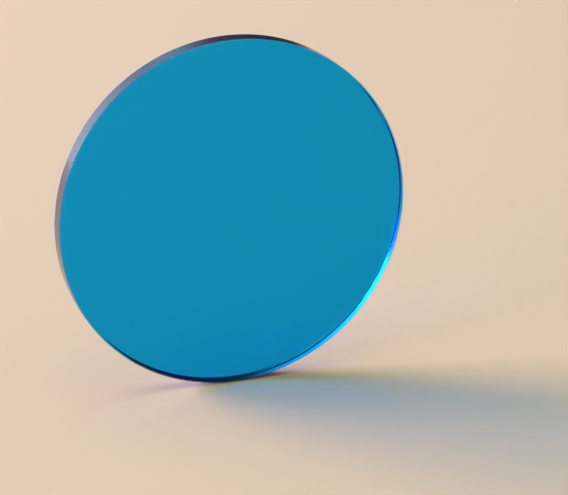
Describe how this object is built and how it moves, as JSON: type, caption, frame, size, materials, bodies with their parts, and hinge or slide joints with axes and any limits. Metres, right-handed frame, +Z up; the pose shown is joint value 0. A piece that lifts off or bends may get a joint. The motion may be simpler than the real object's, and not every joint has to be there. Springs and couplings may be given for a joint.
{
  "type": "colour filter disc",
  "caption": "Flat round disc of clear cyan-blue glass with polished faces and a slightly bevelled rim, which tints the light that passes through it.",
  "frame": {"origin": "centre of the disc, on its optical axis and midway between its faces", "axes": "+Y along the optical axis, from the front face to the rear face; +Z up, with the disc standing on its rim; +X to the right, seen from the front"},
  "size_m": [0.045, 0.0024, 0.045],
  "materials": {
    "tinted_glass": "cyan-blue glass, coloured right through, with polished faces and bevels and a finely ground land"
  },
  "bodies": {
    "root": {"filter_disc": "tinted_glass"}
  },
  "joints": []
}
